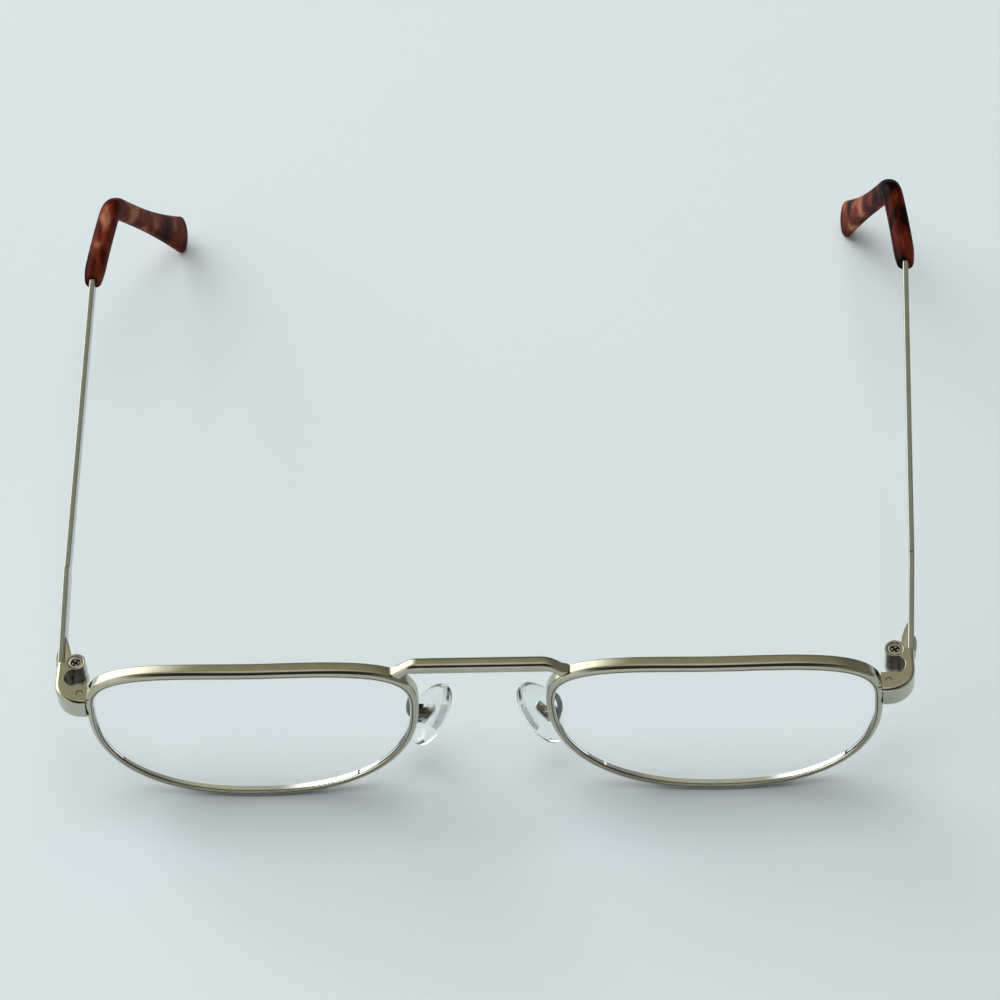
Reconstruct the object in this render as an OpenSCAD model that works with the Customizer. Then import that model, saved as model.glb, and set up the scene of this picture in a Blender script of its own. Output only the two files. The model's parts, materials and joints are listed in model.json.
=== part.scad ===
// Half-eye metal reading glasses, standing on the bottoms of the rims and the ends of the temple tips.
// X runs across the face, the front faces -Y and the table is Z = 0. Left and right are the wearer's: left is +X.
// The front is drawn upright, and the end pieces, hinges and temples are drawn in a frame tilted by face_tilt.

/* [Rims] */
// Width of one rim over its outside
rim_w = 53; // [46:0.5:58]
// Height of one rim over its outside
rim_h = 29.2; // [25:0.1:38]
// Height of the widest level of a rim above its lowest point
rim_waist = 19.1; // [15:0.1:22]
// Gap between the two rims at the nose
nose_gap = 20.2; // [17:0.2:26]
// Squareness of the upper half of the outline, where 2 is an ellipse
top_square = 2.8; // [2.2:0.1:3.6]
// Squareness of the lower half of the outline, where 2 is an ellipse
low_square = 2.4; // [2:0.1:3]
// Distance that the lowest point lies out from the middle of the rim
low_shift = 0.7; // [0:0.1:2]
// Radius of the sphere that rims and lenses lie on
base_r = 140; // [110:5:220]
// Thickness of the rim wire, seen from the front
wire_t = 1.2; // [0.9:0.05:1.6]
// Depth of the rim wire, front to back
wire_d = 2.5; // [2.2:0.1:3.6]
// Depth of the lens groove in the rim wire
groove_t = 0.45; // [0.3:0.05:0.6]
// Width of the lens groove
groove_w = 1; // [0.7:0.05:1.2]
// Height of the slit that parts the two ends of a rim
rim_slit = 0.5; // [0.2:0.05:0.8]

/* [Lenses] */
// Thickness of a lens at its edge
lens_t = 1.4; // [1.35:0.05:2]
// Radius of the back surface of a lens
lens_back_r = 300; // [200:10:400]
// Distance from the front of the rim back to the edge of the lens
lens_set = 0.4; // [0.2:0.05:0.5]
// Clearance between lens and rim
lens_play = 0.03; // [0.02:0.01:0.08]

/* [Bridge] */
// Distance of the top of the bridge below the top of the rims
bridge_low = 0.6; // [0.2:0.1:1.4]
// Height of the bridge bar
bridge_h = 1.95; // [1.6:0.05:2.6]
// Depth of the bridge bar, front to back
bridge_d = 2.4; // [1.8:0.1:2.8]
// Overlap of the bridge's straight top with each rim, across the face
bridge_over = 0.95; // [0.6:0.05:1.8]
// Length of each bent end of the bridge
bridge_end = 3.15; // [2.4:0.05:4]
// Drop of the bent ends of the bridge
bridge_drop = 2.4; // [1.2:0.1:3]
// Distance of the bridge behind the foremost point of the rims
bridge_y = 2.2; // [1.6:0.1:2.8]

/* [End pieces] */
// Distance that an end piece stands out from the side of the rim
end_out = 5.1; // [4.8:0.1:7]
// Height of an end piece
end_h = 4.1; // [3.6:0.1:5]
// Height of the middle of an end piece's face above the widest level of the rim
end_rise = 0.5; // [-1:0.1:1.2]
// Distance of an end piece's face behind the foremost point of the rims
end_y = 2.3; // [1.8:0.1:2.6]
// Depth of the block beside the rim, front to back
block_d = 3.6; // [3.4:0.1:4.4]
// Thickness of the side arm that runs back to the hinge
arm_t = 1.5; // [1.3:0.05:2.2]
// Radius of the outer front corner
corner_r = 4.4; // [2:0.1:4.6]
// Tilt of temples and end pieces against the front
face_tilt = 6; // [4:0.5:10]

/* [Hinges] */
// Distance from an end piece's face back to the hinge axis
hinge_back = 8.2; // [7.8:0.1:9.5]
// Distance from the outer side in to the hinge axis
hinge_in = 3; // [2.8:0.1:3.2]
// Outer diameter of the knuckles
knuckle_d = 3.2; // [2.8:0.1:3.4]
// Height of the upper knuckle
top_knuckle = 1.7; // [1.5:0.05:2]
// Height of the temple's knuckle, in the middle
mid_knuckle = 1.5; // [1.3:0.05:1.8]
// Height of the lower knuckle
low_knuckle = 1.5; // [1.3:0.05:1.8]
// Gap above and below the temple's knuckle
knuckle_gap = 0.06; // [0.04:0.01:0.1]
// Diameter of the hinge screw
screw_d = 1.4; // [1.2:0.05:1.6]
// Diameter of the hinge screw's head
head_d = 2.3; // [2:0.05:2.4]
// Height of the hinge screw's head
head_h = 0.7; // [0.5:0.05:0.9]
// Running clearance of the screw in the temple's knuckle, on the radius
pivot_play = 0.04; // [0.02:0.01:0.08]
// Length of the hinge leaf along the temple, from the knuckle
leaf_l = 4.6; // [3.6:0.1:7]
// Thickness of the hinge leaf at its widest
leaf_t = 1; // [0.8:0.05:1.2]
// Height of the hinge leaf
leaf_h = 2.6; // [2.2:0.1:3]

/* [Temples] */
// Thickness of the temple bar
bar_t = 0.95; // [0.8:0.05:1.2]
// Height of the deeper front part of the temple bar
butt_h = 3.3; // [2.8:0.1:3.8]
// Height of the rest of the temple bar
bar_h = 2.2; // [1.8:0.1:2.6]
// Length of the deeper front part
butt_l = 20.5; // [16:0.5:26]
// Distance from the hinge axis to the start of the tip
bar_l = 84.3; // [72:0.1:94]
// Outward splay of the front part of the temple
splay = 2.8; // [1:0.1:4]
// Inward turn of the bar at the shoulder
kink = 1.2; // [0:0.1:2]
// Length of the raised boss on the outside of the butt
boss_l = 3.2; // [2.6:0.1:6]
// Height that the boss stands proud
boss_t = 0.45; // [0.2:0.05:0.47]
// Height of the boss, up the bar
boss_h = 2.4; // [1.6:0.1:2.8]
// Gap between the temple's end and the end piece when open
butt_gap = 0.2; // [0.15:0.01:0.3]

/* [Tips] */
// Straight length of the tip before the bend
tip_straight = 15.1; // [12:0.1:20]
// Centre-line radius of the bend over the ear
ear_r = 6.5; // [5:0.1:12]
// Angle of the bend over the ear
ear_bend = 55; // [48:0.5:66]
// Length of the tip behind the bend
tip_drop = 36.3; // [30:0.05:42]
// Inward turn of the end of the tip
tip_in = 9.8; // [4:0.2:12]
// Thickness of the tip in front of the bend
tip_t = 3.6; // [2.8:0.1:4]
// Thickness of the tip at its end
paddle_t = 2.4; // [2:0.1:3]
// Height of the tip in front of the bend
tip_h = 3.7; // [3.2:0.1:4.4]
// Length over which the start of the tip is drawn in
mouth_l = 4; // [2:0.5:6]
// Width of the flattened end of the tip
paddle_w = 7.4; // [5.5:0.1:8]
// Length over which the end of the tip is rounded
round_l = 2.1; // [1.5:0.1:3.5]
// Diameter of the core wire inside the tip
core_d = 1.3; // [1:0.05:1.4]
// Length of the tip beyond the end of the core wire
core_short = 9; // [6:0.5:14]
// Clearance of the core wire in the tip
core_play = 0.05; // [0.03:0.01:0.1]

/* [Nose pads] */
// Height of a nose pad
pad_h = 13; // [11:0.2:15]
// Width of a nose pad
pad_w = 7.4; // [6:0.1:8.4]
// Thickness of a nose pad
pad_t = 2.5; // [2.2:0.1:3]
// Distance of the middle of a pad from the side of the rim
pad_off = 1.05; // [0.8:0.05:2]
// Distance of the middle of a pad behind the foremost point of the rims
pad_y = 8.2; // [8:0.1:9.2]
// Distance of the middle of a pad below the widest level of the rim
pad_low = 7.8; // [6.5:0.1:8.8]
// Turn of the pads towards the face
pad_splay = 25; // [15:1:30]
// Lean of the pads, closer together at the top
pad_lean = 32; // [20:1:34]
// Diameter of the pad arm's wire
pad_wire = 0.9; // [0.7:0.05:1.1]
// Diameter of the pin screw that the pad rocks on
pin_d = 0.8; // [0.7:0.05:0.9]
// Running clearance of the pin screw in the pad's eye, on the radius
pin_play = 0.03; // [0.02:0.01:0.06]
// Gap on each side of the pad's eye in its box
eye_gap = 0.08; // [0.05:0.01:0.12]

/* [Lock screws] */
// Diameter of the screw that closes the rim
lock_d = 1; // [0.9:0.05:1.2]
// Diameter of the head of that screw
lock_head_d = 1.8; // [1.6:0.05:2]
// Width of the closing lug, across the face
lug_w = 1.9; // [1.7:0.05:2.1]
// Depth of the closing lug, front to back
lug_d = 2; // [1.8:0.05:2.2]
// Height of the closing lug above the end piece
lug_rise = 0.1; // [0.05:0.05:0.8]

/* [Hidden] */
$fn = 48;
gold = [0.72, 0.68, 0.56];
steel = [0.62, 0.62, 0.58];
clear_glass = [0.85, 0.9, 0.92, 0.35];
clear_soft = [0.9, 0.93, 0.95, 0.6];
tortoise = [0.35, 0.12, 0.06];
left = 1;
right = -1;
far = 60;            // longer than any cut it is used for

// Rims
outline_steps = 96;
ball_steps = 240;
rim_x = nose_gap / 2 + rim_w / 2;
rim_side = rim_x + rim_w / 2;
half_front = rim_side + end_out;
bridge_z = rim_h - bridge_low;
bridge_flat = nose_gap / 2 + bridge_over;
bridge_reach = bridge_flat + bridge_end;
end_z = rim_waist + end_rise;
pad_x = nose_gap / 2 - pad_off;
pad_z = rim_waist - pad_low;
mid_z = rim_h / 2 - rim_waist;          // middle of the rim's height, from the waist
groove_set = (wire_d - groove_w) / 2;
foot_y = base_r - sqrt(pow(base_r, 2) - pow(rim_h / 2, 2) - pow(low_shift, 2));

// Temple frame: its origin is on the end piece's face, at mid height
axis_x = half_front - hinge_in;
knuckle_r = knuckle_d / 2;
top_z = end_h / 2;
mid_top = top_z - top_knuckle - knuckle_gap;
mid_low = mid_top - mid_knuckle;
low_top = mid_low - knuckle_gap;
low_z = low_top - low_knuckle;
notch_r = (hinge_back - block_d - knuckle_r + 0.2) / 2;
notch_x = half_front - arm_t - notch_r;
wing_root = 4;                          // hidden length of the end piece, cut away by the rim
lug_y = 1;                              // front of the lug behind the end piece's face
lug_foot = 0.5;
lug_root = 0.9;                         // hidden length of the lug, cut away by the rim
lug_x = rim_side - lug_root;
lock_x = rim_side + lug_w / 2 - 0.05;
lock_y = lug_y + lug_d / 2;
side_play = 0.05;
arm_foot = 0.02;                        // gap of the pad arm at the rim and at the box
thread_play = 0.01;

// Tips
core_rings = 16;
bend_l = ear_r * ear_bend * PI / 180;
tip_l = tip_straight + bend_l + tip_drop;
core_l = tip_l - core_short;
boss_r = (pow(boss_l / 2, 2) + pow(boss_t, 2)) / (2 * boss_t);

// Nose pads, in their own frame: +X points out to the box, Z up the pad
pin_x = 2.15;
eye_r = 0.85;
eye_w = 1.2;
box_wall = 0.35;
box_h = 2.3;
box_front = pad_t / 2 + 0.3;
box_back = pin_x + eye_r + 0.12;
pad_rings = 12;

// Outline of a rim about its waist, grown by g, as two half superellipses
function bulge(v, n) = sign(v) * pow(abs(v), 2 / n);
function outline(g) = [for (i = [0:outline_steps - 1])
    let (t = 360 * i / outline_steps, up = sin(t) >= 0, n = up ? top_square : low_square,
        b = (up ? rim_h - rim_waist : rim_waist) + g)
    [(rim_w / 2 + g) * bulge(cos(t), n) + (up ? 0 : low_shift * abs(bulge(sin(t), n))), b * bulge(sin(t), n)]];

// Centre line of a tip and its slope angle at length u, in the temple bar's frame
function bend_at(u) = min(max(u - tip_straight, 0) / bend_l, 1) * ear_bend;
function tip_at(u) = let (a = bend_at(u), after = max(u - tip_straight - bend_l, 0))
    [-tip_in * pow(max(u, 0) / tip_l, 1.3),
     min(u, tip_straight) + ear_r * sin(a) + after * cos(a),
     -ear_r * (1 - cos(a)) - after * sin(a)];
function tip_frame(u, p) = let (a = bend_at(u), c = tip_at(u))
    [c[0] + p[0], c[1] + p[1] * sin(a), c[2] + p[1] * cos(a)];

// Half width and half thickness of a tip at length u
function ease(v) = v * v * (3 - 2 * v);
function tip_half_h(u) = let (s = max(u / tip_l - 0.5, 0) / 0.5) tip_h / 2 + (paddle_w - tip_h) / 2 * s * s;
function tip_half_t(u) = tip_t / 2 + (paddle_t - tip_t) / 2 * ease(max(u / tip_l - 0.35, 0) / 0.65);
function tip_round(u) = let (s = max(u - (tip_l - round_l), 0) / round_l) sqrt(max(1 - s * s, 0.0004));
function tip_mouth(u) = 1 - 0.22 * pow(max(1 - u / mouth_l, 0), 2);
function oval(rx, rz, n, q) = [for (i = [0:q - 1]) let (t = 360 * i / q) [rx * bulge(cos(t), n), rz * bulge(sin(t), n)]];
tip_us = concat([for (i = [0:3]) mouth_l * i / 4], [for (i = [0:3]) mouth_l + (tip_straight - mouth_l) * i / 4],
    [for (i = [0:9]) tip_straight + bend_l * i / 10], [for (i = [0:9]) tip_l - tip_drop + (tip_drop - round_l) * i / 10],
    [for (i = [0:6]) tip_l - round_l * (1 - sin(15 * i))]);
function tip_ring(u) = [for (p = oval(tip_half_t(u) * tip_mouth(u) * pow(tip_round(u), 0.6),
    tip_half_h(u) * tip_mouth(u) * tip_round(u), 2.3, 16)) tip_frame(u, p)];
function core_ring(u, r) = [for (p = oval(r, r, 2, 8)) tip_frame(u, p)];
function tip_skin() = [for (u = tip_us) tip_ring(u)];

// Resting attitude: turn the whole until the tips come down to the plane under the rims
function turn_x(p, a) = [p[0], p[1] * cos(a) - p[2] * sin(a), p[1] * sin(a) + p[2] * cos(a)];
function turn_z(p, a) = [p[0] * cos(a) - p[1] * sin(a), p[0] * sin(a) + p[1] * cos(a), p[2]];
bar_off = hinge_in - bar_t / 2;
function bar_to_temple(p) = turn_z([bar_off, butt_l, 0] + turn_z(p, kink), -splay) + [axis_x, hinge_back, 0];
function temple_to_front(p) = turn_x(p, face_tilt) + [0, end_y, end_z];
tip_points = [for (ring = tip_skin()) for (p = ring)
    temple_to_front(bar_to_temple([p[0], p[1] + bar_l - butt_l, p[2]]))];
back_foot = foot_y + wire_d;
angle_back = min([for (p = tip_points) atan2(p[2], p[1] - back_foot)]);
angle_front = min([for (p = tip_points) atan2(p[2], p[1] - foot_y)]);
rest_turn = angle_back > 0 ? angle_back : angle_front;
foot_drop = turn_x([0, rest_turn > 0 ? back_foot : foot_y, 0], -rest_turn)[2];
back_y = max([for (p = tip_points) turn_x(p, -rest_turn)[1]]);
front_y = turn_x([0, lens_set, rim_h / 2], -rest_turn)[1];

// Places
module on_table() {
    translate([0, -(front_y + back_y) / 2, -foot_drop]) rotate([-rest_turn, 0, 0]) children();
}
module at_side(side) {
    mirror([side < 0 ? 1 : 0, 0, 0]) children();
}
module in_temple_frame() {
    translate([0, end_y, end_z]) rotate([face_tilt, 0, 0]) children();
}
module on_hinge() {
    in_temple_frame() translate([axis_x, hinge_back, 0]) children();
}
module on_temple() {
    on_hinge() rotate([0, 0, -splay]) children();
}
module on_bar() {
    on_temple() translate([bar_off, butt_l, 0]) rotate([0, 0, kink]) children();
}
module in_pad_frame() {
    translate([pad_x, pad_y, pad_z]) rotate([0, -pad_lean, 0]) rotate([0, 0, -pad_splay]) children();
}

// Solid made of rings of points, each ring with the same count
module skin(rings) {
    q = len(rings[0]);
    last = len(rings) - 1;
    points = [for (ring = rings) for (p = ring) p];
    sides = [for (j = [0:last - 1]) for (i = [0:q - 1]) let (a = j * q + i, b = j * q + (i + 1) % q)
        each [[a, b, a + q], [b, b + q, a + q]]];
    low_cap = [for (i = [1:q - 2]) [0, i + 1, i]];
    high_cap = [for (i = [1:q - 2]) [last * q, last * q + i, last * q + i + 1]];
    polyhedron(points, concat(sides, low_cap, high_cap));
}

// Prism of an outline in the plane of the front, between two depths
module prism(points, y0, y1) {
    translate([0, y1, 0]) rotate([90, 0, 0]) linear_extrude(y1 - y0) polygon(points);
}

// Space between two depths behind the sphere that the rims lie on
module curved_layer(d0, d1) {
    translate([0, base_r, mid_z]) difference() {
        sphere(base_r - d0, $fn = ball_steps);
        sphere(base_r - d1, $fn = ball_steps);
    }
}

module rim_outside() {
    translate([rim_x, 0, rim_waist]) prism(outline(0), -far, far);
}

module rim(side) {
    slit_z = end_z + top_z;
    color(gold) on_table() at_side(side) difference() {
        translate([rim_x, 0, rim_waist]) difference() {
            intersection() {
                prism(outline(0), -far, far);
                curved_layer(0, wire_d);
            }
            prism(outline(-wire_t), -far, far);
            intersection() {
                prism(outline(groove_t - wire_t), -far, far);
                curved_layer(groove_set, groove_set + groove_w);
            }
        }
        translate([rim_x, -far, slit_z]) cube([far, 2 * far, rim_slit]);
    }
}

module lens(side) {
    tongue = groove_w - 2 * lens_play;
    color(clear_glass) on_table() at_side(side) translate([rim_x, 0, rim_waist]) {
        intersection() {
            prism(outline(-wire_t - lens_play), -far, far);
            difference() {
                translate([0, base_r, mid_z]) sphere(base_r - lens_set, $fn = ball_steps);
                translate([0, lens_set + lens_t + lens_back_r + lens_bulge(), mid_z])
                    sphere(lens_back_r, $fn = ball_steps);
            }
        }
        intersection() {
            difference() {
                prism(outline(groove_t - wire_t - lens_play), -far, far);
                prism(outline(-wire_t - 2 * lens_play), -far, far);
            }
            curved_layer(groove_set + lens_play, groove_set + lens_play + tongue);
        }
    }
}
// Extra thickness in the middle of the lens, so that its edge has the stated thickness at the rim's half width
function lens_bulge() = pow(rim_w / 2, 2) / 2 * (1 / base_r - 1 / lens_back_r);

module bridge() {
    low = bridge_z - bridge_h;
    t = bridge_h;
    half = [[0, bridge_z], [bridge_flat, bridge_z], [bridge_reach, bridge_z - bridge_drop],
        [bridge_reach + 0.15 * t, bridge_z - bridge_drop - 0.5 * t], [bridge_reach - 0.3 * t, low - 1.5 * t],
        [bridge_flat + 0.3 * t, low - 0.65 * t], [bridge_flat - 0.15 * t, low], [0, low]];
    color(gold) on_table() difference() {
        union() {
            for (side = [left, right]) at_side(side) prism(half, bridge_y, bridge_y + bridge_d);
        }
        for (side = [left, right]) at_side(side) rim_outside();
    }
}

// Plan of an end piece: rounded block, side arm, and the notch that clears the barrel
module end_plan() {
    difference() {
        union() {
            translate([rim_side - wing_root, 0]) square([half_front - corner_r - rim_side + wing_root, block_d]);
            translate([half_front - corner_r, corner_r]) circle(corner_r);
            translate([half_front - corner_r, corner_r]) square([corner_r, hinge_back - corner_r]);
            translate([axis_x, corner_r]) square([half_front - axis_x, hinge_back - corner_r]);
        }
        translate([notch_x, block_d + notch_r]) circle(notch_r);
        translate([notch_x - far, block_d]) square([far, far]);
    }
}

module end_piece(side) {
    color(gold) on_table() at_side(side) difference() {
        in_temple_frame() difference() {
            union() {
                translate([0, 0, -top_z]) linear_extrude(end_h) end_plan();
                translate([axis_x, hinge_back, 0]) {
                    translate([0, 0, top_z - top_knuckle]) cylinder(r = knuckle_r, h = top_knuckle);
                    translate([0, 0, low_z]) cylinder(r = knuckle_r, h = low_knuckle);
                }
            }
            translate([axis_x, hinge_back, mid_low - knuckle_gap])
                cylinder(r = knuckle_r + 0.15, h = mid_knuckle + 2 * knuckle_gap);
            translate([axis_x, hinge_back, low_z - 1])
                cylinder(d = screw_d + 2 * thread_play, h = end_h + 4);
            translate([axis_x, hinge_back, top_z - head_h - 0.05])
                cylinder(d = head_d + 2 * side_play, h = head_h + 1);
            lug_block(side_play, top_z + 1);
            translate([lock_x, lock_y, -top_z - 1]) cylinder(d = lock_d + 2 * side_play, h = end_h + 1);
            translate([lock_x, lock_y, -top_z - 1]) cylinder(d = lock_head_d + 2 * side_play, h = 1.5);
        }
        rim_outside();
    }
}

// Block of the closing lug, grown by play, up to the level top
module lug_block(play, top) {
    translate([lug_x, lug_y - play, lug_foot - play])
        cube([lug_w + lug_root + play, lug_d + 2 * play, top - lug_foot + play]);
}

module closing_block(side) {
    color(gold) on_table() at_side(side) difference() {
        in_temple_frame() difference() {
            lug_block(0, top_z + lug_rise);
            translate([lock_x, lock_y, 0]) cylinder(d = lock_d + 2 * thread_play, h = 2.2);
        }
        rim_outside();
    }
}

module cross_slot(d, depth) {
    w = d / 7;
    for (a = [0, 90]) rotate([0, 0, a]) translate([-d / 2, -w, -depth]) cube([d, 2 * w, depth + 1]);
}

module lock_screw(side) {
    color(steel) on_table() at_side(side) in_temple_frame() translate([lock_x, lock_y, -top_z]) difference() {
        union() {
            cylinder(d = lock_d, h = 4);
            cylinder(d = lock_head_d, h = 0.45);
        }
        mirror([0, 0, 1]) cross_slot(lock_head_d * 0.7, 0.25);
    }
}

module hinge_screw(side) {
    color(steel) on_table() at_side(side) on_hinge() difference() {
        union() {
            translate([0, 0, low_z - 0.15]) cylinder(d = screw_d, h = top_z - low_z - 0.2);
            translate([0, 0, top_z - head_h]) cylinder(d = head_d, h = head_h - 0.1);
        }
        translate([0, 0, top_z - 0.1]) cross_slot(head_d * 0.72, 0.35);
    }
}

module temple_hinge(side) {
    inner = bar_off - bar_t / 2;
    neck = [[-0.2 * knuckle_r, 0.7 * knuckle_r], [inner - leaf_t, 1.8 * knuckle_r], [inner, 2.2 * knuckle_r],
        [inner, 0.6 * knuckle_r], [0.6 * knuckle_r, 0.3 * knuckle_r]];
    leaf = [[inner - leaf_t, 0.6 * knuckle_r], [inner - leaf_t, knuckle_r + 0.3 * leaf_l],
        [inner - 0.55 * leaf_t, knuckle_r + 0.7 * leaf_l], [inner, knuckle_r + leaf_l], [inner, 0.6 * knuckle_r]];
    color(gold) on_table() at_side(side) on_hinge() difference() {
        union() {
            translate([0, 0, mid_low]) cylinder(r = knuckle_r, h = mid_knuckle);
            rotate([0, 0, -splay]) {
                translate([0, 0, mid_low]) linear_extrude(mid_knuckle) polygon(neck);
                translate([0, 0, -leaf_h / 2 - 0.3]) difference() {
                    linear_extrude(leaf_h) polygon(leaf);
                    translate([0, 0, -1]) cylinder(r = knuckle_r + 0.25, h = leaf_h + 2);
                }
            }
        }
        translate([0, 0, mid_low - 1]) cylinder(d = screw_d + 2 * pivot_play, h = mid_knuckle + 2);
    }
}

module temple(side) {
    color(steel) on_table() at_side(side) {
        on_temple() {
            translate([bar_off - bar_t / 2, butt_gap, -butt_h / 2]) cube([bar_t, butt_l - butt_gap, butt_h]);
            translate([bar_off + bar_t / 2, butt_gap, -boss_h / 2]) linear_extrude(boss_h) intersection() {
                translate([boss_t - boss_r, boss_l / 2]) circle(boss_r);
                translate([-bar_t / 2, 0]) square([bar_t, boss_l]);
            }
        }
        on_bar() {
            translate([-bar_t / 2, -0.4, -bar_h / 2]) cube([bar_t, bar_l - butt_l + 0.9, bar_h]);
            translate([0, bar_l - butt_l, 0]) skin([for (i = [0:core_rings])
                core_ring(0.3 + (core_l - 0.3) * i / core_rings, core_d / 2)]);
        }
    }
}

module tip(side) {
    bore = core_d / 2 + core_play;
    color(tortoise) on_table() at_side(side) on_bar() translate([0, bar_l - butt_l, 0]) difference() {
        skin(tip_skin());
        skin([for (i = [0:core_rings]) core_ring(0.3 + (core_l - 0.3) * i / core_rings + 0.2 * i / core_rings, bore)]);
        translate([-bar_t / 2 - side_play, -1, -bar_h / 2 - side_play])
            cube([bar_t + 2 * side_play, 1.6, bar_h + 2 * side_play]);
    }
}

// Rings of a nose pad: a drop that is fuller below, flatter on the side of the box
function pad_ring(v) = let (r = sqrt(max(1 - v * v, 0.001)), z = v * pad_h / 2,
    w = pad_w / 2 * pow(r, 0.85) * (1 - 0.12 * v), t = pad_t / 2 * pow(r, 0.7))
    [for (i = [0:17]) let (a = 360 * i / 18) [t * cos(a), w * bulge(sin(a), 2.2), z]];

module nose_pad(side) {
    color(clear_soft) on_table() at_side(side) in_pad_frame() difference() {
        skin([for (i = [0:pad_rings]) pad_ring(sin(90 * (2 * i / pad_rings - 1)))]);
        insert_plate(0.02);
        translate([0, -eye_w / 2 - 0.02, -eye_r - 0.02]) cube([pad_t, eye_w + 0.04, 2 * eye_r + 0.04]);
    }
}

module insert_plate(play) {
    translate([-0.25 - play, -1.5 - play, -2.4 - play]) cube([0.5 + 2 * play, 3 + 2 * play, 4.8 + 2 * play]);
}

module pad_insert(side) {
    color(steel) on_table() at_side(side) in_pad_frame() difference() {
        union() {
            insert_plate(0);
            translate([0, -eye_w / 2, -eye_r]) cube([pin_x, eye_w, 2 * eye_r]);
            translate([pin_x, eye_w / 2, 0]) rotate([90, 0, 0]) cylinder(r = eye_r, h = eye_w);
        }
        translate([pin_x, eye_w, 0]) rotate([90, 0, 0]) cylinder(d = pin_d + 2 * pin_play, h = 2 * eye_w);
    }
}

module pad_box(side) {
    half = eye_w / 2 + eye_gap;
    color(gold) on_table() at_side(side) in_pad_frame() difference() {
        translate([box_front, -half - box_wall, -box_h / 2])
            cube([box_back + box_wall - box_front, 2 * (half + box_wall), box_h]);
        translate([box_front - 1, -half, -box_h]) cube([box_back - box_front + 1, 2 * half, 2 * box_h]);
        translate([pin_x, half + 1, 0]) rotate([90, 0, 0]) cylinder(d = pin_d + 2 * thread_play, h = 2 * half + 2);
    }
}

module pad_screw(side) {
    half = eye_w / 2 + eye_gap + box_wall;
    color(steel) on_table() at_side(side) in_pad_frame() translate([pin_x, half, 0]) rotate([90, 0, 0])
        difference() {
            union() {
                cylinder(d = pin_d, h = 2 * half + 0.1);
                translate([0, 0, -0.4]) cylinder(d = pin_d * 1.7, h = 0.4);
            }
            translate([0, 0, -0.4]) mirror([0, 0, 1]) cross_slot(pin_d * 1.2, 0.2);
        }
}

// Pad arm: a wire along a cubic curve from the back of the rim to the box, with its ends cut to lie on both
function pad_to_front(p) = let (a = turn_z(p, -pad_splay))
    [a[0] * cos(pad_lean) - a[2] * sin(pad_lean), a[1], a[0] * sin(pad_lean) + a[2] * cos(pad_lean)]
    + [pad_x, pad_y, pad_z];
function cubic(a, b, c, d, t) = a * pow(1 - t, 3) + b * 3 * t * pow(1 - t, 2) + c * 3 * t * t * (1 - t) + d * pow(t, 3);
function unit(v) = v / norm(v);
arm_x = nose_gap / 2 + 0.85;
arm_z = rim_waist - 2.5;
arm_in = base_r - wire_d - arm_foot;
ball_centre = [rim_x, base_r, rim_waist + mid_z];
arm_start = [arm_x, base_r - sqrt(pow(arm_in, 2) - pow(arm_x - rim_x, 2) - pow(arm_z - ball_centre[2], 2)), arm_z];
arm_normal = unit(ball_centre - arm_start);
arm_end = pad_to_front([box_back + box_wall + arm_foot, 0, 0.2]);
arm_axis = unit(pad_to_front([-1, 0, 0]) - pad_to_front([0, 0, 0]));
arm_steps = 20;
arm_path = [for (i = [0:arm_steps]) cubic(arm_start, arm_start + 3.6 * arm_normal + [0, 0, 2.6],
    arm_end - 2.4 * arm_axis, arm_end, i / arm_steps)];
function arm_way(i) = i == 0 ? arm_normal : i == arm_steps ? arm_axis : unit(arm_path[i + 1] - arm_path[i - 1]);

module pad_arm(side) {
    color(gold) on_table() at_side(side) skin([for (i = [0:arm_steps])
        let (t = arm_way(i), s = unit(cross(t, [0.2, 0.3, 1])), n = cross(s, t))
        [for (k = [0:7]) arm_path[i] + pad_wire / 2 * (cos(45 * k) * s + sin(45 * k) * n)]]);
}

rim(left);  // left_rim
rim(right);  // right_rim
lens(left);  // left_lens
lens(right);  // right_lens
bridge();
end_piece(left);  // left_end_piece
end_piece(right);  // right_end_piece
closing_block(left);  // left_closing_block
closing_block(right);  // right_closing_block
lock_screw(left);  // left_lock_screw
lock_screw(right);  // right_lock_screw
hinge_screw(left);  // left_hinge_screw
hinge_screw(right);  // right_hinge_screw
pad_arm(left);  // left_pad_arm
pad_arm(right);  // right_pad_arm
pad_box(left);  // left_pad_box
pad_box(right);  // right_pad_box
pad_screw(left);  // left_pad_screw
pad_screw(right);  // right_pad_screw
nose_pad(left);  // left_nose_pad
nose_pad(right);  // right_nose_pad
pad_insert(left);  // left_pad_insert
pad_insert(right);  // right_pad_insert
temple(left);  // left_temple
temple(right);  // right_temple
temple_hinge(left);  // left_temple_hinge
temple_hinge(right);  // right_temple_hinge
tip(left);  // left_tip
tip(right);  // right_tip
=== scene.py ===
import json
import math

import bmesh
import bpy
import numpy as np
from mathutils import Matrix, Vector


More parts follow.
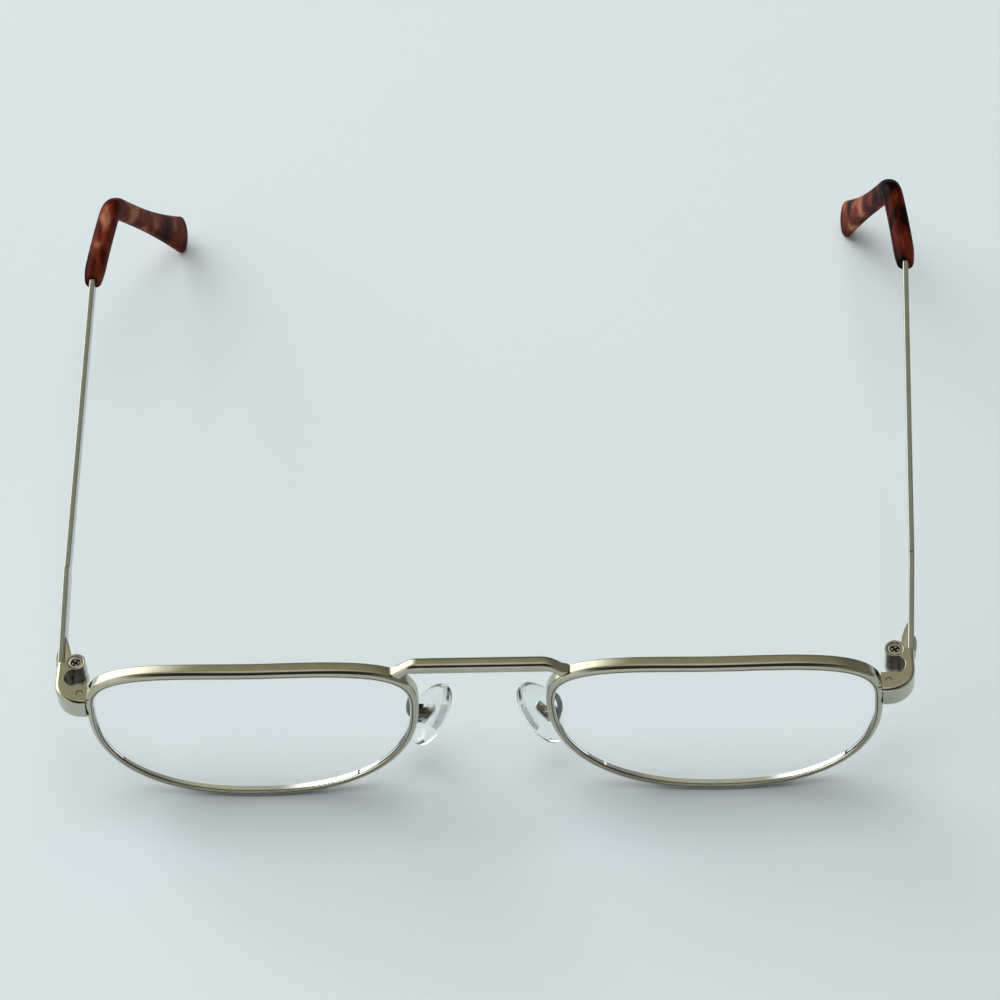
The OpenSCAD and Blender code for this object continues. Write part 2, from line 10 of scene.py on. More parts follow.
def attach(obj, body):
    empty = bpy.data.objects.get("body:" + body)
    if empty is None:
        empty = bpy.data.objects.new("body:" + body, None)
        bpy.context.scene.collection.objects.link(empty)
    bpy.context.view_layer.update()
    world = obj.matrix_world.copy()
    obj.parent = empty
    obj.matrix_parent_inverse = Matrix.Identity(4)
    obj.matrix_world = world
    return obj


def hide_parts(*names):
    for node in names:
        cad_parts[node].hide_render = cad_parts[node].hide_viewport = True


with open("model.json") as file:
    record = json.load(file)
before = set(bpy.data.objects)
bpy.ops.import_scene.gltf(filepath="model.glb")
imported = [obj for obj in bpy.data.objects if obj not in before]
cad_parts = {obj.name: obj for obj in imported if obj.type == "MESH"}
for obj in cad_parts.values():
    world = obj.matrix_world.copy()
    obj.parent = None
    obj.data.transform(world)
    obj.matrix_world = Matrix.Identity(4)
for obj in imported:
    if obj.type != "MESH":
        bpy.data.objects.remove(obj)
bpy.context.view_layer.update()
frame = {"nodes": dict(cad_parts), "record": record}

nodes = frame["nodes"]
bodies = frame["record"]["behaviour"]["bodies"]
bodyOf = {part: body for body, members in bodies.items() for part in members}
sides = {"left": 1, "right": -1}

# Places of the construction, in mm and degrees. In the drawing frame the front stands upright: x runs from
# the middle of the face to the wearer's left, y back from the face and z up from the rims' lowest points.
stand = {"turn": -0.0108329, "shift": 70.4171, "drop": -0.000617}
temples = {"tilt": 6, "endY": 2.3, "endZ": 19.6, "axisX": 65.2, "axisY": 8.2, "splay": 2.8, "barOff": 2.525,
           "shoulder": 20.5, "kink": 1.2, "barEnd": 84.3}
pads = {"x": 9.05, "y": 8.2, "z": 11.3, "lean": 32, "splay": 25}


def turned(p, axis, degrees):  # a right-handed turn about one axis
    i, j = {"x": (1, 2), "y": (2, 0), "z": (0, 1)}[axis]
    a = math.radians(degrees)
    q = np.array(p, float)
    q[..., i] = p[..., i] * math.cos(a) - p[..., j] * math.sin(a)
    q[..., j] = p[..., i] * math.sin(a) + p[..., j] * math.cos(a)
    return q


def onTable(p, side=1):  # drawing frame in mm to the part's frame in metres, mirrored for the right side
    q = turned(p * np.array([side, 1, 1]), "x", stand["turn"])
    return (q - np.array([0, stand["shift"], stand["drop"]])) / 1000


def fromHinge(p):  # hinge frame, on the middle of the hinge screw, to drawing frame
    q = p + np.array([temples["axisX"], temples["axisY"], 0])
    return turned(q, "x", temples["tilt"]) + np.array([0, temples["endY"], temples["endZ"]])


def toHinge(p, side):  # the part's frame in metres back to the hinge frame in mm
    q = p * 1000 * np.array([side, 1, 1]) + np.array([0, stand["shift"], stand["drop"]])
    q = turned(q, "x", -stand["turn"]) - np.array([0, temples["endY"], temples["endZ"]])
    return turned(q, "x", -temples["tilt"]) - np.array([temples["axisX"], temples["axisY"], 0])


def fromButt(p):  # the temple's deeper front part to drawing frame
    return fromHinge(turned(p, "z", -temples["splay"]))


def fromBar(p):  # the rest of the temple, behind the shoulder
    return fromButt(turned(p, "z", temples["kink"]) + np.array([temples["barOff"], temples["shoulder"], 0]))


def fromPad(p):  # pad frame to drawing frame
    q = turned(turned(p, "z", -pads["splay"]), "y", -pads["lean"])
    return q + np.array([pads["x"], pads["y"], pads["z"]])


# Meshes

def bulge(v, n):  # a superellipse's share: the sign of v times |v| to the power 2/n
    return np.sign(v) * np.abs(v) ** (2 / n)


def quarterArc(share, least=0):  # falls from 1 to 0 along a quarter circle, while share goes from 0 to 1
    return np.sqrt(np.clip(1 - share ** 2, least, 1))


def around(count):  # angles of count points round a circle
    return np.linspace(0, 2 * math.pi, count + 1)[:-1]


def rounded(corners, radii, steps):  # outline of a polygon whose corners are arcs, tangent to both sides
    corners = np.array(corners, float)
    out = []
    for here, radius, before, after in zip(corners, radii, np.roll(corners, 1, 0), np.roll(corners, -1, 0)):
        a = (before - here) / np.linalg.norm(before - here)
        b = (after - here) / np.linalg.norm(after - here)
        half = math.acos(np.clip(a @ b, -1, 1)) / 2
        reach = radius / math.tan(half)
        middle = here + (a + b) / np.linalg.norm(a + b) * radius / math.sin(half)
        w = np.linspace(0, 1, steps + 1)[:, None]
        arc = (here + a * reach - middle) * (1 - w) + (here + b * reach - middle) * w
        out.append(middle + arc / np.linalg.norm(arc, axis=1, keepdims=True) * radius)
    return np.concatenate(out)


def roundedBar(halfA, halfB, edge, count):
    # one rounded rectangle for each row, with half sizes halfA and halfB and count points on each corner: the
    # arc's middle lies edge inside both sides, and its points are that middle plus edge times cos and sin
    steps = np.linspace(0, math.pi / 2, count)
    corner = np.stack([np.cos(steps), np.sin(steps)], -1)
    quarters = [(1, 1, corner), (-1, 1, corner[::-1] * [-1, 1]), (-1, -1, corner * -1),
                (1, -1, corner[::-1] * [1, -1])]
    a = [signA * (halfA - edge)[:, None] + edge[:, None] * arc[:, 0] for signA, signB, arc in quarters]
    b = [signB * (halfB - edge)[:, None] + edge[:, None] * arc[:, 1] for signA, signB, arc in quarters]
    return np.concatenate(a, 1), np.concatenate(b, 1)


def ringFaces(rows, cols, closed=False):  # quads between rings of points, each ring closed on itself
    i, j = np.arange(rows if closed else rows - 1)[:, None], np.arange(cols)[None, :]
    k, l = (i + 1) % rows, (j + 1) % cols
    return np.stack([i * cols + j, i * cols + l, k * cols + l, k * cols + j], -1).reshape(-1, 4).tolist()


def capped(grid):  # rings to points and faces; each end gets a fan to its ring's middle
    rows, cols = grid.shape[:2]
    points = np.concatenate([grid.reshape(-1, 3), grid[0].mean(0)[None], grid[-1].mean(0)[None]])
    last, j = (rows - 1) * cols, np.arange(cols)
    after = (j + 1) % cols
    low = np.stack([after, j, np.full(cols, rows * cols)], -1)
    high = np.stack([last + j, last + after, np.full(cols, rows * cols + 1)], -1)
    return points, ringFaces(rows, cols) + low.tolist() + high.tolist()


def looped(grid):  # rings to points and faces, with the last ring joined to the first
    return grid.reshape(-1, 3), ringFaces(*grid.shape[:2], closed=True)


def together(parts):  # several closed shells as one mesh
    points, faces, count = [], [], 0
    for p, f in parts:
        points.append(p)
        faces += [[v + count for v in face] for face in f]
        count += len(p)
    return np.concatenate(points), faces


def placed(name, mesh, part, smooth):  # an object in the part's place, smooth up to an angle in degrees
    mesh.polygons.foreach_set("use_smooth", np.ones(len(mesh.polygons), bool))
    mesh.set_sharp_from_angle(angle=math.radians(smooth))
    piece = bpy.data.objects.new(name, mesh)
    bpy.context.scene.collection.objects.link(piece)
    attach(piece, bodyOf[part])
    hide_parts(part)
    return piece


def addPiece(part, ending, points, faces, material, smooth):
    mesh = bpy.data.meshes.new(part + ending)
    mesh.from_pydata(points.tolist(), [], faces)
    work = bmesh.new()
    work.from_mesh(mesh)
    bmesh.ops.recalc_face_normals(work, faces=work.faces)
    work.to_mesh(mesh)
    work.free()
    mesh.materials.append(material)
    return placed(part + ending, mesh, part, smooth)


def faceCentres(mesh):
    centres = np.zeros(len(mesh.polygons) * 3)
    mesh.polygons.foreach_get("center", centres)
    return centres.reshape(-1, 3)


def setSecond(mesh, material, chosen):  # the chosen faces get a second material
    mesh.materials.append(material)
    mesh.polygons.foreach_set("material_index", chosen.astype(np.int32))


solid = {"merge": 2e-6, "flat": 1.5, "sharp": 32}  # a distance in metres and two angles in degrees


def finished(part, width, material, segments=4, share=None, inside=None, moved=None):
    # the part's own solid with its edges broken by width mm. share gives each edge its part of the width,
    # inside chooses the faces of a shaded wall, and moved takes the points to new places.
    mesh = nodes[part].data.copy()
    mesh.name = part + "_finished"
    if moved:
        points = np.zeros(len(mesh.vertices) * 3)
        mesh.vertices.foreach_get("co", points)
        mesh.vertices.foreach_set("co", moved(points.reshape(-1, 3)).ravel())
    work = bmesh.new()
    work.from_mesh(mesh)
    bmesh.ops.remove_doubles(work, verts=work.verts, dist=solid["merge"])
    flat = math.radians(solid["flat"])
    bmesh.ops.dissolve_limit(work, angle_limit=flat, verts=work.verts, edges=work.edges)
    bmesh.ops.recalc_face_normals(work, faces=work.faces)
    if share:
        sharp = math.radians(solid["sharp"])
        middles = np.array([tuple((edge.verts[0].co + edge.verts[1].co) / 2) for edge in work.edges])
        layer = work.edges.layers.float.new("bevel_weight_edge")
        for edge, weight in zip(work.edges, share(middles)):
            edge[layer] = weight if len(edge.link_faces) == 2 and edge.calc_face_angle(0) > sharp else 0
    work.to_mesh(mesh)
    work.free()
    mesh.materials.clear()
    mesh.materials.append(material)
    if inside:
        # the faces that inside chooses get painted shade
        setSecond(mesh, paintedRecessShade, inside(faceCentres(mesh)))
    piece = placed(part + "_finished", mesh, part, solid["sharp"])
    if width:
        bevel = piece.modifiers.new("broken edges", "BEVEL")
        bevel.width = width / 1000
        bevel.segments = segments
        bevel.angle_limit = math.radians(solid["sharp"])
        bevel.limit_method = "WEIGHT" if share else "ANGLE"
        bevel.use_clamp_overlap = not share
        bevel.harden_normals = False
        bevel.miter_outer = "MITER_ARC"


# Materials

class Wire:
    def __init__(self, tree, socket):
        self.tree, self.socket = tree, socket

    def sum(self, how, a, b):
        return node(self.tree, "Math", {"operation": how}, {0: a, 1: b})["Value"]

    def __add__(self, other):
        return self.sum("ADD", self, other)

    def __radd__(self, other):
        return self.sum("ADD", other, self)

    def __sub__(self, other):
        return self.sum("SUBTRACT", self, other)

    def __rsub__(self, other):
        return self.sum("SUBTRACT", other, self)

    def __mul__(self, other):
        return self.sum("MULTIPLY", self, other)

    def __rmul__(self, other):
        return self.sum("MULTIPLY", other, self)


class Outs:
    def __init__(self, tree, made):
        self.tree, self.made = tree, made

    def __getitem__(self, name):
        return Wire(self.tree, self.made.outputs[name])


def node(tree, kind, settings=None, inputs=None):
    made = tree.nodes.new("ShaderNode" + kind)
    for key, value in (settings or {}).items():
        if key == "stops":
            ramp = made.color_ramp
            while len(ramp.elements) < len(value):
                ramp.elements.new(1)
            for element, (place, colour) in zip(ramp.elements, value):
                element.position, element.color = place, (*colour, 1)
        else:
            setattr(made, key, value)
    for key, value in (inputs or {}).items():
        if isinstance(value, Wire):
            tree.links.new(value.socket, made.inputs[key])
        else:
            made.inputs[key].default_value = value
    return Outs(tree, made)


def mixColour(tree, share, a, b):  # a colour is a link, or its red, green and blue
    a, b = (colour if isinstance(colour, Wire) else (*colour, 1) for colour in (a, b))
    return node(tree, "Mix", {"data_type": "RGBA"}, {0: share, 6: a, 7: b})[2]


def noise(tree, place, scale, detail, roughness=0.5):
    return node(tree, "TexNoise", None, {"Vector": place, "Scale": scale, "Detail": detail,
                                         "Roughness": roughness})["Fac"]


def newMaterial(name):
    material = bpy.data.materials.new(name)
    material.use_nodes = True
    tree = material.node_tree
    tree.nodes.clear()
    return material, tree, node(tree, "TexCoord")["Object"]


def surface(tree, inputs):  # the shader that the material ends in
    shader = node(tree, "BsdfPrincipled", None, inputs)["BSDF"]
    node(tree, "OutputMaterial", None, {"Surface": shader})


frameLook = {"dark": (0.40, 0.385, 0.305), "light": (0.53, 0.515, 0.42), "roughness": 0.16,
             "cloudScale": 240.0, "cloudDetail": 3.0, "grainScale": 2600.0, "grainDetail": 6.0,
             "grainRoughness": 0.65, "grain": 0.1, "bump": 0.12, "bumpDepth": 0.00002,
             "speckScale": 900.0, "speckCore": 0.05, "speckEdge": 0.14, "speck": 0.5, "speckDull": 0.15,
             "speckColour": (0.06, 0.05, 0.035)}


def metal(name, **changes):  # the frame's metal, clouded and lightly specked, with what differs in another
    look = {**frameLook, **changes}
    material, tree, place = newMaterial(name)
    broad = noise(tree, place, look["cloudScale"], look["cloudDetail"])
    fine = noise(tree, place, look["grainScale"], look["grainDetail"], look["grainRoughness"])
    specks = node(tree, "TexVoronoi", None, {"Vector": place, "Scale": look["speckScale"]})["Distance"]
    speckMask = node(tree, "MapRange", None, {"Value": specks, "From Min": look["speckCore"],
                                              "From Max": look["speckEdge"], "To Min": 1.0,
                                              "To Max": 0.0})["Result"]
    colour = mixColour(tree, broad, look["dark"], look["light"])
    colour = mixColour(tree, speckMask * look["speck"], colour, look["speckColour"])
    roughness = look["roughness"] + (fine - 0.5) * look["grain"] + speckMask * look["speckDull"]
    bump = node(tree, "Bump", None, {"Strength": look["bump"], "Distance": look["bumpDepth"],
                                     "Height": fine})["Normal"]
    surface(tree, {"Base Color": colour, "Metallic": 1.0, "Roughness": roughness, "Normal": bump})
    return material


frameMetal = metal("champagne metal")
templeMetal = metal("temple metal", dark=(0.34, 0.355, 0.32), light=(0.45, 0.465, 0.43))
screwSteel = metal("screw steel", dark=(0.42, 0.41, 0.37), light=(0.56, 0.55, 0.5), roughness=0.25)
# painted shade: the pad arms, pad boxes and the inserts' eyes get this darker copy of the frame metal
shadedPadMetal = metal("shaded pad metal", dark=(0.07, 0.063, 0.048), light=(0.19, 0.175, 0.13), roughness=0.2)
# painted shade: a near-black copy of the metal for groove, notch and barrel faces where shade falls
paintedRecessShade = metal("painted recess shade", dark=(0.05, 0.036, 0.028), light=(0.13, 0.10, 0.078), roughness=0.35)
# painted shade: near-black metal for the floor of the hinge screw's cross slot
paintedSlotShade = metal("painted slot shade", dark=(0.012, 0.01, 0.008), light=(0.03, 0.025, 0.02), roughness=0.5)
coreMetal = metal("pad core metal", dark=(0.62, 0.63, 0.60), light=(0.74, 0.75, 0.72), roughness=0.4)


def clearMaterial(name, look):
    material, tree, place = newMaterial(name)
    cloud = noise(tree, place, look["cloudScale"], look["cloudDetail"])
    roughness = look["roughness"] + cloud * look["cloud"]
    colour = mixColour(tree, cloud, look["colour"], look["colourFar"])
    surface(tree, {"Base Color": colour, "Roughness": roughness, "IOR": look["ior"],
                   "Transmission Weight": 1.0})
    return material


glassLook = {"colour": (0.995, 1.0, 1.0), "colourFar": (0.985, 0.995, 0.995), "ior": 1.5, "roughness": 0.0,
             "cloud": 0.0, "cloudScale": 60.0, "cloudDetail": 2.0}
siliconeLook = {"colour": (0.95, 0.97, 0.97), "colourFar": (0.9, 0.93, 0.93), "ior": 1.34, "roughness": 0.05,
                "cloud": 0.06, "cloudScale": 500.0, "cloudDetail": 2.0}
lensGlass = clearMaterial("clear lens", glassLook)
padSilicone = clearMaterial("clear silicone", siliconeLook)

tortoiseLook = {"patchScale": 210.0, "stretch": (1, 0.4, 0.45), "patchDetail": 3.0, "patchRoughness": 0.55,
                "patchBend": 0.3, "lift": 0.09, "liftFrom": 0.043, "liftTo": 0.050, "roughness": 0.3,
                "wearScale": 1400.0, "wearDetail": 4.0, "wear": 0.16, "coat": 0.1, "coatRoughness": 0.04,
                "stops": [(0.42, (0.004, 0.001, 0.001)), (0.51, (0.058, 0.006, 0.003)),
                          (0.60, (0.15, 0.027, 0.012)), (0.74, (0.40, 0.18, 0.11))]}


def tortoiseMaterial(name, look):
    # dark and red patches that run along the tip; the drop behind the ear is painted lighter, as painted
    # sheen and light glowing through the plastic
    material, tree, place = newMaterial(name)
    along = node(tree, "Mapping", None, {"Vector": place, "Scale": look["stretch"]})["Vector"]
    patches = node(tree, "TexNoise", None, {"Vector": along, "Scale": look["patchScale"],
                                            "Detail": look["patchDetail"],
                                            "Roughness": look["patchRoughness"],
                                            "Distortion": look["patchBend"]})["Fac"]
    # painted sheen: the colour is lifted on the drop behind the ear
    back = node(tree, "SeparateXYZ", None, {"Vector": place})["Y"]
    lift = node(tree, "MapRange", None, {"Value": back, "From Min": look["liftFrom"],
                                         "From Max": look["liftTo"], "To Max": look["lift"]})["Result"]
    colour = node(tree, "ValToRGB", {"stops": look["stops"]}, {"Fac": patches + lift})["Color"]
    wear = noise(tree, place, look["wearScale"], look["wearDetail"])
    surface(tree, {"Base Color": colour, "Roughness": look["roughness"] + (wear - 0.5) * look["wear"],
                   "Specular IOR Level": 0.0, "Coat Weight": look["coat"],
                   "Coat Roughness": look["coatRoughness"]})
    return material


tortoise = tortoiseMaterial("tortoise plastic", tortoiseLook)
print("materials made")


# Rims: a rounded wire section carried along the outline, on a ball, and parted by a slit at the outer side

rim = {"width": 53, "height": 29.2, "waist": 19.1, "gap": 20.2, "topSquare": 2.8, "lowSquare": 2.4,
       "lowShift": 0.7, "ball": 140, "wire": 1.2, "depth": 2.5, "slitZ": 21.65, "slit": 0.5, "slitFade": 40,
       "steps": 360, "fineSteps": 20000, "arcSteps": 7, "inset": 0.006,
       "edge": 0.78, "innerEdge": 0.12, "backEdge": 0.5, "innerBackEdge": 0.3,
       "line": 0.92, "lineWidth": 0.15, "lineDepth": 0.12, "lineEdge": 0.04, "set": 0.01, "lean": 0.06,
       "crispEdge": 0.12, "crispHalf": 2.9, "crispFade": 0.5, "crispFrom": 20}
rimX = rim["gap"] / 2 + rim["width"] / 2
ballZ = rim["height"] / 2 - rim["waist"]


def outlineAt(t, grow):
    # from the waist, x is the half width times cos t to the power 2/n, and z the half height times sin t to
    # the power 2/n; below the waist x also shifts outwards with the depth
    up = np.sin(t) >= 0
    n = np.where(up, rim["topSquare"], rim["lowSquare"])
    reach = np.where(up, rim["height"] - rim["waist"], rim["waist"]) + grow
    s, c = np.sin(t), np.cos(t)
    x = (rim["width"] / 2 + grow) * bulge(c, n) + np.where(up, 0, rim["lowShift"] * np.abs(bulge(s, n)))
    return x, reach * bulge(s, n)


def behindBall(x, z, depth):  # y of the ball's front, shrunk by depth
    return rim["ball"] - np.sqrt((rim["ball"] - depth) ** 2 - x ** 2 - (z - ballZ) ** 2)


def evenSteps(count, grow):  # angles that part the outline into equal lengths, read off one with fine steps
    t = np.linspace(0, 2 * math.pi, rim["fineSteps"] + 1)
    x, z = outlineAt(t, grow)
    run = np.concatenate([[0], np.cumsum(np.hypot(np.diff(x), np.diff(z)))])
    return np.interp(np.linspace(0, run[-1], count), run, t)


def rimSection(edge):  # across the wire: growth of the outline, negative inwards, and depth behind the ball
    wire, depth, front, line, half = rim["wire"], rim["depth"], rim["set"], rim["line"], rim["lineWidth"] / 2
    corners = [(0, front), (0, depth), (-wire, depth), (-wire, front + rim["lean"]),
               (-line - half, front + rim["lean"] / 2), (-line, rim["lineDepth"]), (-line + half, front)]
    radii = [edge, rim["backEdge"], rim["innerBackEdge"], rim["innerEdge"],
             rim["lineEdge"], rim["lineEdge"] / 2, rim["lineEdge"]]
    return rounded(corners, radii, rim["arcSteps"])


def makeRim(part, side):
    # the section goes once round: x and z are the outline grown by its first number, y is the ball at its
    # second. Near the slit the angles are shifted so that both ends are level cuts.
    profile = rimSection(rim["edge"])
    ref = evenSteps(rim["steps"], -rim["wire"] / 2)
    rx, rz = outlineAt(ref, -rim["wire"] / 2)  # the front edge stays crisp where the end piece meets it
    beside = (rim["crispHalf"] - np.abs(rz + rim["waist"] - temples["endZ"])) / rim["crispFade"]
    beside = (np.clip(beside, 0, 1) * (rx > rim["crispFrom"]))[:, None, None]
    grid = profile * (1 - beside) + rimSection(rim["crispEdge"]) * beside
    grow, depth = grid[..., 0] - rim["inset"], grid[..., 1]
    reach = rim["height"] - rim["waist"] + grow
    # the slit's two levels on each line, as shares of the upper half's height
    low = (rim["slitZ"] - rim["waist"]) / reach
    high = (rim["slitZ"] + rim["slit"] - rim["waist"]) / reach
    start, end = np.arcsin(high ** (rim["topSquare"] / 2)), np.arcsin(low ** (rim["topSquare"] / 2))
    share = (ref / (2 * math.pi))[:, None]
    away, near = np.clip(share * rim["slitFade"], 0, 1), np.clip((share - 1) * rim["slitFade"] + 1, 0, 1)
    x, z = outlineAt(ref[:, None] + start * (1 - away) + end * near, grow)
    points, faces = capped(np.stack([x + rimX, behindBall(x, z, depth), z + rim["waist"]], -1))
    piece = addPiece(part, "_wire", onTable(points, side), faces, frameMetal, smooth=50)
    floor = np.abs(profile[:, 0] + rim["line"]) < rim["lineWidth"] / 2 + rim["lineEdge"] / 2
    floor &= (profile[:, 1] > rim["lineDepth"] / 2) & (profile[:, 1] < rim["depth"] / 2)
    lineShade = np.tile(floor | np.roll(floor, -1), rim["steps"] - 1)  # the fine line's bottom gets painted shade
    setSecond(piece.data, paintedRecessShade, np.concatenate([lineShade, np.zeros(len(faces) - len(lineShade), bool)]))


lens = {"set": 0.41, "edge": 1.4, "backBall": 300, "play": 0.03, "bevel": 0.12, "bevelAt": 25, "steps": 288,
        "stepLine": -1, "rings": 14, "innerRing": 0.04}


def makeLens(part, side):
    # rings are the outline shrunk to its middle; the front lies on the rims' ball, the back on a flatter one
    flatter = 1 / rim["ball"] - 1 / lens["backBall"]
    thick = lens["set"] + lens["edge"] + (rim["width"] / 2) ** 2 / 2 * flatter

    def backAt(x, z):
        return thick + lens["backBall"] - np.sqrt(lens["backBall"] ** 2 - x ** 2 - (z - ballZ) ** 2)

    t = evenSteps(lens["steps"] + 1, lens["stepLine"])[:-1]
    x, z = outlineAt(t, -rim["wire"] - lens["play"])
    share = np.sin(np.linspace(lens["innerRing"], math.pi / 2, lens["rings"]))[:, None]
    inset = 1 - lens["bevel"] / lens["bevelAt"]
    fx, fz = x * share * inset, z * share * inset
    front = np.stack([fx, behindBall(fx, fz, lens["set"]), fz], -1)
    edge = np.stack([np.stack([x, behindBall(x, z, lens["set"]) + lens["bevel"], z], -1),
                     np.stack([x, backAt(x, z) - lens["bevel"], z], -1)])
    back = np.stack([fx, backAt(fx, fz), fz], -1)
    points, faces = capped(np.concatenate([front, edge, back[::-1]]) + np.array([rimX, 0, rim["waist"]]))
    addPiece(part, "_glass", onTable(points, side), faces, lensGlass, smooth=30)


for name, side in sides.items():
    makeRim(name + "_rim", side)
    makeLens(name + "_lens", side)
print("rims and lenses made")


# Bridge: a bar of rounded section, whose ends bend down over the rims' shoulders

bridge = {"top": 28.6, "height": 1.95, "front": 2.2, "depth": 2.4, "flat": 11.05, "bend": 1.5, "slope": 0.762,
          "reach": 14.15, "underFlat": 11.3, "underBend": 0.5, "underSlope": 0.9, "seatFrom": 10.2,
          "sink": 0.05, "edge": 0.78, "fullest": 0.9, "noseLength": 2.0, "noseLeast": 0.01, "frontNose": 1.0,
          "backNose": 0.3, "tongue": 1.5, "tongueRise": 0.9, "thinnest": 0.12,
          "level": 9.4, "levelRows": 30, "endFrom": 9.6, "endRows": 75, "cornerSteps": 6}


def rimTopAt(x):  # the rim's upper outline at x from the middle of the face
    c = np.clip(np.abs(np.abs(x) - rimX) / (rim["width"] / 2), 0, 1) ** (rim["topSquare"] / 2)
    return rim["waist"] + (rim["height"] - rim["waist"]) * quarterArc(c) ** (2 / rim["topSquare"])


def pastBend(a, start, radius):
    # 0 before the bend, a parabola from start - radius to start + radius, then a - start
    s = np.clip((a - start + radius) / (2 * radius), 0, None)
    return np.where(s < 1, radius * s ** 2, a - start)


def makeBridge():
    # rows along x, each a rounded rectangle between its top and low line and its front and back line
    b, end = bridge, bridge["reach"]
    x = np.concatenate([np.linspace(-end, -b["endFrom"], b["endRows"]),
                        np.linspace(-b["level"], b["level"], b["levelRows"]),
                        np.linspace(b["endFrom"], end, b["endRows"])])
    a = np.abs(x)
    top = b["top"] - b["slope"] * pastBend(a, b["flat"], b["bend"])
    under = b["top"] - b["height"] - b["underSlope"] * pastBend(a, b["underFlat"], b["underBend"])
    low = np.where(a < b["seatFrom"], under, np.maximum(under, rimTopAt(x) - b["sink"]))
    tongue = 1 - quarterArc(np.clip(a - (end - b["tongue"]), 0, None) / b["tongue"])
    low = np.minimum(low + b["tongueRise"] * tongue, top - b["thinnest"])
    nose = 1 - quarterArc(np.clip(a - (end - b["noseLength"]), 0, None) / b["noseLength"], b["noseLeast"])
    front, back = b["front"] + b["frontNose"] * nose, b["front"] + b["depth"] - b["backNose"] * nose
    halfY, halfZ = (back - front) / 2, (top - low) / 2
    edge = np.minimum(b["edge"], np.minimum(halfZ, halfY) * b["fullest"])
    y, z = roundedBar(halfY, halfZ, edge, b["cornerSteps"])
    grid = np.stack([np.repeat(x[:, None], y.shape[1], 1), ((back + front) / 2)[:, None] + y,
                     ((top + low) / 2)[:, None] + z], -1)
    points, faces = capped(grid)
    addPiece("bridge", "_bar", onTable(points), faces, frameMetal, smooth=45)


makeBridge()
print("bridge made")


# Temples: a flat bar with a deeper front part, a shoulder and a small boss outside the hinge

bar = {"thick": 0.95, "buttHeight": 3.3, "height": 2.2, "edge": 0.2, "buttGap": 0.2, "shoulder": 0.7,
       "kinkHalf": 1, "trim": 0.1, "endRows": (0, 0.06, 0.2), "buttFrom": 1, "buttRows": 24,
       "shoulderFrom": 1, "shoulderTo": 0.2, "shoulderRows": 13, "rowGap": 0.2, "intoTip": 0.4, "barRows": 40,
       "cornerSteps": 5}
boss = {"length": 3, "thick": 0.45, "height": 2.4, "sink": 0.2, "edge": 0.18, "endEdge": 0.1, "arch": 0.8,
        "rows": 21}


def makeTemple(part, side):
    # rows along the bar, each a rounded rectangle; ahead of the shoulder its half height eases from one value
    # to the other by 3 e^2 - 2 e^3, and the shoulder's kink blends the two frames of the temple
    s = temples["shoulder"]
    ahead, behind, end = s - bar["shoulderFrom"], s + bar["shoulderTo"], temples["barEnd"] + bar["intoTip"]
    v = np.concatenate([bar["buttGap"] + np.array(bar["endRows"]),
                        np.linspace(bar["buttFrom"], ahead - bar["rowGap"], bar["buttRows"]),
                        np.linspace(ahead, behind, bar["shoulderRows"]),
                        np.linspace(behind + 2 * bar["rowGap"], end, bar["barRows"])])
    ease = np.clip((v - (s - bar["shoulder"])) / bar["shoulder"], 0, 1)
    ease = ease * ease * (3 - 2 * ease)
    trim = np.where(v <= bar["buttGap"], bar["trim"], 0)
    halfH = bar["buttHeight"] / 2 * (1 - ease) + bar["height"] / 2 * ease - trim
    x, z = roundedBar(bar["thick"] / 2 - trim, halfH, np.full(len(v), bar["edge"]), bar["cornerSteps"])
    y = np.repeat(v[:, None], x.shape[1], 1)
    bend = np.clip((v - s + bar["kinkHalf"]) / (2 * bar["kinkHalf"]), 0, 1)[:, None, None]
    front = fromButt(np.stack([x + temples["barOff"], y, z], -1))
    back = fromBar(np.stack([x, y - s, z], -1))
    # the boss is a low arch: its height over the bar is the sine of u to a power, while u goes from 0 to pi
    u = np.linspace(0, math.pi, boss["rows"])
    out = boss["thick"] * np.sin(u) ** boss["arch"]
    bx, bz = roundedBar(boss["sink"] + out / 2, np.full(len(u), boss["height"] / 2),
                        np.minimum(boss["edge"], boss["endEdge"] + out / 2), bar["cornerSteps"])
    along = boss["length"] / 2 - boss["length"] / 2 * np.cos(u)
    by = np.repeat(along[:, None], bx.shape[1], 1) + bar["buttGap"]
    middle = temples["barOff"] + bar["thick"] / 2 - boss["sink"] + (out / 2)[:, None]
    points, faces = together([capped(front * (1 - bend) + back * bend),
                              capped(fromButt(np.stack([bx + middle, by, bz], -1)))])
    addPiece(part, "_bar", onTable(points, side), faces, templeMetal, smooth=40)


tip = {"straight": 15.1, "earR": 6.5, "bend": 55, "drop": 36.3, "inward": 9.8, "inwardCurve": 1.3,
       "thick": 3.6, "endThick": 2.4, "thinFrom": 0.35, "height": 3.7, "paddle": 7.4, "paddleFrom": 0.5,
       "square": 2.3, "round": 2.1, "roundLeast": 0.0004, "roundFlat": 0.6, "mouth": 4, "drawnIn": 0.22,
       "lip": 0.35, "lipIn": 0.15, "fit": 0.991, "rows": 130, "endRows": 15, "around": 40}


